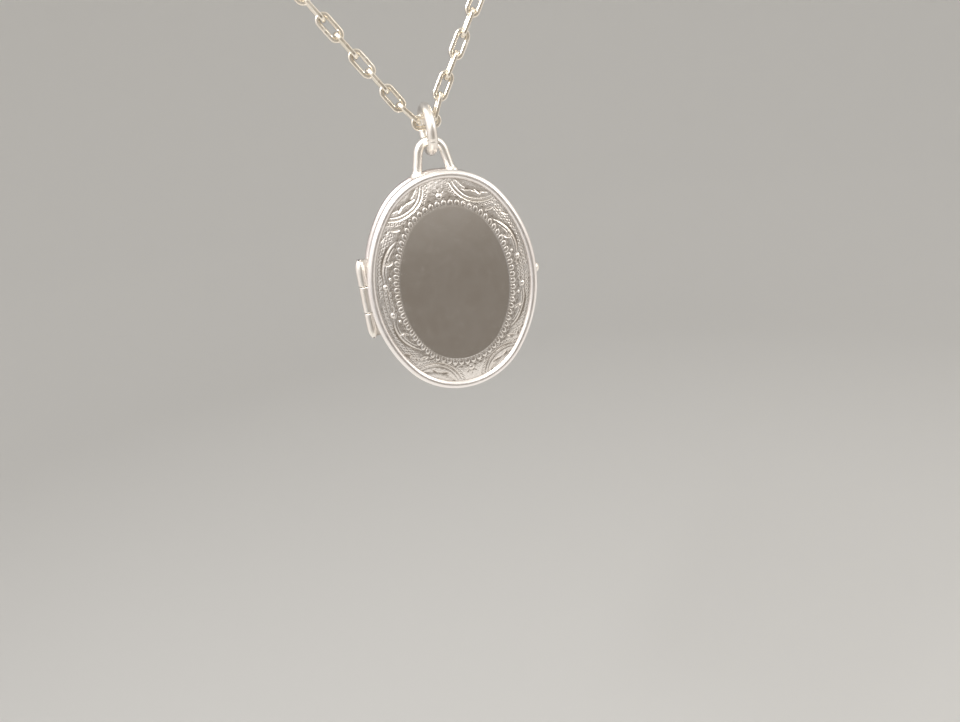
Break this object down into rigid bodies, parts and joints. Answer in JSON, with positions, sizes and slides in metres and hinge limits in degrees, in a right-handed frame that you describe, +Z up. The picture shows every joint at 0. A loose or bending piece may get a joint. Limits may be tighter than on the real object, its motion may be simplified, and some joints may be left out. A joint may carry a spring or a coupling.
{
  "type": "locket",
  "caption": "Oval silver locket with an engraved cover hinged at its side, blank photo frames inside, and a loop and jump ring that hang it on a link chain with a clasp.",
  "frame": {"origin": "straight above the case, at the mean height of the chain's two end rings, where the necklace is carried", "axes": "+Z up, from the locket to the chain's ends; the engraved cover faces -Y; +X is to the viewer's right"},
  "size_m": [0.0339, 0.0066, 0.0614],
  "materials": {
    "silver": "polished",
    "chain_silver": "polished",
    "spring_steel": "satin",
    "window": "clear",
    "photo_paper": "matte"
  },
  "bodies": {
    "chain": {"chain_link_01": "chain_silver", "chain_link_02": "chain_silver", "chain_link_03": "chain_silver", "chain_link_04": "chain_silver", "chain_link_05": "chain_silver", "chain_link_06": "chain_silver", "chain_link_07": "chain_silver", "chain_link_08": "chain_silver", "chain_link_09": "chain_silver", "chain_link_10": "chain_silver", "chain_link_11": "chain_silver", "chain_link_12": "chain_silver", "chain_link_13": "chain_silver", "chain_link_14": "chain_silver", "chain_link_15": "chain_silver", "chain_link_16": "chain_silver", "chain_link_17": "chain_silver", "left_end_ring": "chain_silver", "right_end_ring": "chain_silver", "clasp_eye": "chain_silver", "clasp_body": "chain_silver", "clasp_spring": "spring_steel"},
    "clasp_bolt": {"clasp_bolt": "chain_silver", "clasp_trigger": "chain_silver"},
    "jump_ring": {"jump_ring": "silver"},
    "case": {"back_rim": "silver", "back_panel": "silver", "snap_lip": "silver", "snap_bead": "silver", "back_photo_frame": "silver", "back_window": "window", "back_photo": "photo_paper", "hinge_knuckle_top": "silver", "hinge_knuckle_bottom": "silver", "hinge_pin": "silver", "bail_loop": "silver"},
    "cover": {"front_rim": "silver", "front_panel": "silver", "thumb_pip": "silver", "front_photo_frame": "silver", "front_window": "window", "front_photo": "photo_paper", "hinge_knuckle_middle": "silver"}
  },
  "joints": [
    {"name": "clasp_slide", "type": "hinge", "parent": "chain", "child": "clasp_bolt", "pos_m": [-0.01688, 0, 0.00367], "axis": [0, -1, 0], "range_deg": [0, 44], "stiffness_Nm_per_rad": 0.0005, "springref_deg": -17.19, "deforming": ["clasp_spring"]},
    {"name": "ring_swing", "type": "hinge", "parent": "chain", "child": "jump_ring", "pos_m": [0, 0, -0.01809], "axis": [1, 0, 0], "range_deg": [-45, 45]},
    {"name": "case_rock", "type": "hinge", "parent": "jump_ring", "child": "case", "pos_m": [0, 0, -0.02237], "axis": [0, 1, 0], "range_deg": [-20, 20]},
    {"name": "cover_hinge", "type": "hinge", "parent": "case", "child": "cover", "pos_m": [-0.01185, -0.001, -0.03967], "axis": [0, 0, -1], "range_deg": [0, 170]}
  ]
}
